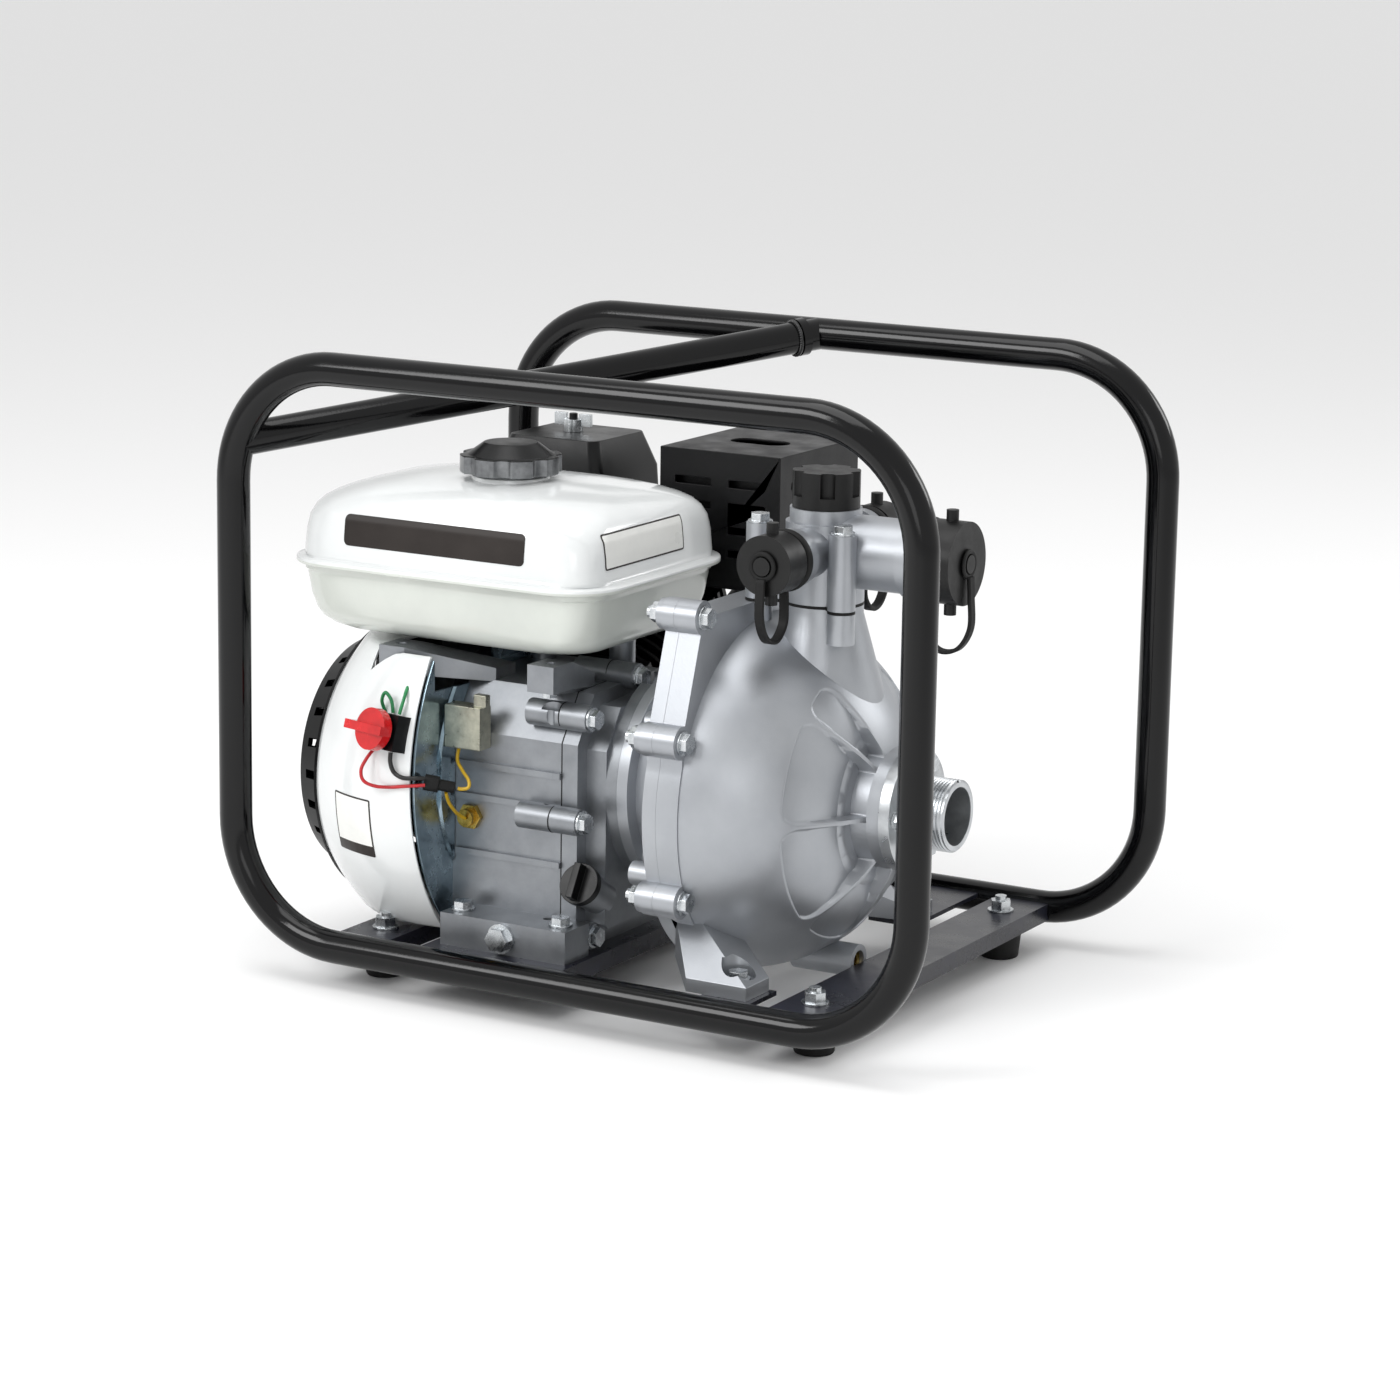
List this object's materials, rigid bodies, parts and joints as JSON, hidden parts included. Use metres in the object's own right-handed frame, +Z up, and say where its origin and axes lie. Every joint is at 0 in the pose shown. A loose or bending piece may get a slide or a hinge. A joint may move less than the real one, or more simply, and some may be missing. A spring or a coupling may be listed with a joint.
{
  "type": "portable fire pump",
  "caption": "Portable fire pump: a petrol engine and a high-pressure water pump with capped outlets on a manifold, carried in a tubular frame.",
  "frame": {"origin": "on the ground, at the centre of the footprint of the carrying frame", "axes": "+X along the crankshaft towards the pump inlet, +Y towards the cylinder and muffler side, +Z up"},
  "size_m": [0.5302, 0.3782, 0.4245],
  "materials": {
    "frame_paint": "gloss black paint on steel tube",
    "plate_paint": "gloss blue-black paint on folded sheet",
    "rubber": "matt moulded rubber",
    "zinc": "bright zinc plate on steel fasteners",
    "engine_casting": "fine shot-blasted die casting",
    "cylinder_paint": "heat-resistant satin black on cast fins",
    "black_plastic": "moulded black plastic",
    "porcelain": "glazed ceramic and plated steel",
    "steel": "machined steel",
    "piston_alloy": "machined aluminium alloy",
    "flywheel_alloy": "grey casting",
    "plate_zinc": "blue zinc plate on pressed sheet",
    "shroud_paint": "gloss white paint on pressed sheet",
    "tank_white": "gloss white paint on pressed sheet",
    "tank_cream": "gloss off-white paint on pressed sheet",
    "cap_metal": "grey metallic rim with a black top",
    "foam": "oiled filter foam",
    "carburettor_alloy": "die-cast zinc-aluminium",
    "heat_black": "heat-resistant black on pressed steel",
    "red_plastic": "moulded red plastic",
    "relay_zinc": "dull yellow-green passivated can",
    "brass": "machined brass",
    "black_lead": "extruded black insulation",
    "red_lead": "extruded red insulation",
    "green_lead": "extruded green insulation",
    "yellow_lead": "extruded yellow insulation",
    "pump_casting": "satin cast aluminium",
    "impeller_bronze": "cast bronze",
    "machined_alloy": "machined aluminium",
    "cap_plastic": "glass-filled black plastic"
  },
  "bodies": {
    "root": {"near_loop": "frame_paint", "far_loop": "frame_paint", "cross_tube": "frame_paint", "base_plates": "plate_paint", "rubber_feet": "rubber", "mounting_bolts": "zinc", "crankcase": "engine_casting", "side_cover": "engine_casting", "engine_bolts": "zinc", "drain_plug": "zinc", "barrel": "cylinder_paint", "cylinder_head": "cylinder_paint", "rocker_cover": "cylinder_paint", "spark_plug": "porcelain", "plug_boot": "rubber", "back_plate": "plate_zinc", "fan_shroud": "shroud_paint", "recoil_cover": "black_plastic", "tank_lower": "tank_cream", "tank_upper": "tank_white", "filter_base": "black_plastic", "filter_element": "foam", "filter_cover": "black_plastic", "carburettor": "carburettor_alloy", "muffler": "heat_black", "muffler_guard": "heat_black", "switch_body": "black_plastic", "oil_relay": "relay_zinc", "oil_sensor": "brass", "wire_black": "black_lead", "wire_red": "red_lead", "wire_green": "green_lead", "wire_yellow": "yellow_lead", "pump_back": "pump_casting", "shaft_seal": "rubber", "volute": "pump_casting", "pump_bolts": "zinc", "pump_drain_plug": "brass", "inlet_pipe": "machined_alloy", "outlet_gasket": "rubber", "manifold": "machined_alloy", "cap_straps": "rubber"},
    "rotor": {"crankshaft": "steel", "flywheel": "flywheel_alloy", "impeller": "impeller_bronze"},
    "piston": {"piston": "piston_alloy", "connecting_rod": "steel"},
    "starter_grip": {"starter_grip": "black_plastic"},
    "starter_pulley": {"starter_pulley": "black_plastic"},
    "fuel_cap": {"fuel_cap": "cap_metal"},
    "priming_cap": {"priming_cap": "cap_plastic"},
    "near_cap": {"near_cap": "cap_plastic"},
    "front_cap": {"front_cap": "cap_plastic"},
    "far_cap": {"far_cap": "cap_plastic"},
    "dipstick": {"dipstick": "black_plastic"},
    "switch_knob": {"switch_knob": "red_plastic"},
    "choke_lever": {"choke_lever": "black_plastic"},
    "fuel_tap": {"fuel_tap": "black_plastic"},
    "throttle_lever": {"throttle_lever": "black_plastic"},
    "wing_nut": {"wing_nut": "zinc"}
  },
  "joints": [
    {"name": "crankshaft_turn", "type": "hinge", "parent": "root", "child": "rotor", "pos_m": [0, -0.035, 0.14], "axis": [1, 0, 0], "continuous": true},
    {"name": "piston_stroke", "type": "slide", "parent": "root", "child": "piston", "axis": [0, 0.9063, 0.4226], "range_m": [-0.054, 0]},
    {"name": "starter_pull", "type": "slide", "parent": "root", "child": "starter_grip", "axis": [-1, 0, 0], "range_m": [0, 0.45]},
    {"name": "starter_pulley_turn", "type": "hinge", "parent": "root", "child": "starter_pulley", "pos_m": [-0.239, -0.035, 0.14], "axis": [1, 0, 0], "range_deg": [0, 720]},
    {"name": "fuel_cap_turn", "type": "hinge", "parent": "root", "child": "fuel_cap", "pos_m": [-0.113, -0.06, 0.337], "axis": [0, 0, 1], "range_deg": [0, 90]},
    {"name": "priming_cap_turn", "type": "hinge", "parent": "root", "child": "priming_cap", "pos_m": [0.112, -0.035, 0.332], "axis": [0, 0, 1], "range_deg": [0, 720]},
    {"name": "near_cap_turn", "type": "hinge", "parent": "root", "child": "near_cap", "pos_m": [0.112, -0.095, 0.305], "axis": [0, -1, 0], "range_deg": [0, 720]},
    {"name": "front_cap_turn", "type": "hinge", "parent": "root", "child": "front_cap", "pos_m": [0.192, -0.035, 0.305], "axis": [1, 0, 0], "range_deg": [0, 720]},
    {"name": "far_cap_turn", "type": "hinge", "parent": "root", "child": "far_cap", "pos_m": [0.112, 0.025, 0.305], "axis": [0, 1, 0], "range_deg": [0, 720]},
    {"name": "dipstick_turn", "type": "hinge", "parent": "root", "child": "dipstick", "pos_m": [-0.017, -0.108, 0.072], "axis": [0, -0.866, 0.5], "range_deg": [0, 720]},
    {"name": "switch_turn", "type": "hinge", "parent": "root", "child": "switch_knob", "pos_m": [-0.14, -0.159, 0.174], "axis": [-0.25, -0.933, 0.2588], "range_deg": [0, 90]},
    {"name": "choke_swing", "type": "hinge", "parent": "root", "child": "choke_lever", "pos_m": [-0.158, 0.09, 0.215], "axis": [-1, 0, 0], "range_deg": [0, 60]},
    {"name": "fuel_tap_turn", "type": "hinge", "parent": "root", "child": "fuel_tap", "pos_m": [-0.158, 0.107, 0.197], "axis": [-1, 0, 0], "range_deg": [0, 90]},
    {"name": "throttle_swing", "type": "hinge", "parent": "root", "child": "throttle_lever", "pos_m": [-0.132, 0.086, 0.224], "axis": [0, 0, -1], "range_deg": [0, 40]},
    {"name": "wing_nut_turn", "type": "hinge", "parent": "root", "child": "wing_nut", "pos_m": [-0.163, 0.1, 0.34], "axis": [0, 0, 1], "range_deg": [0, 720]}
  ],
  "couplings": [
    {"joint": "starter_pulley_turn", "follows": "starter_pull", "rad_per_m": 26.667}
  ]
}
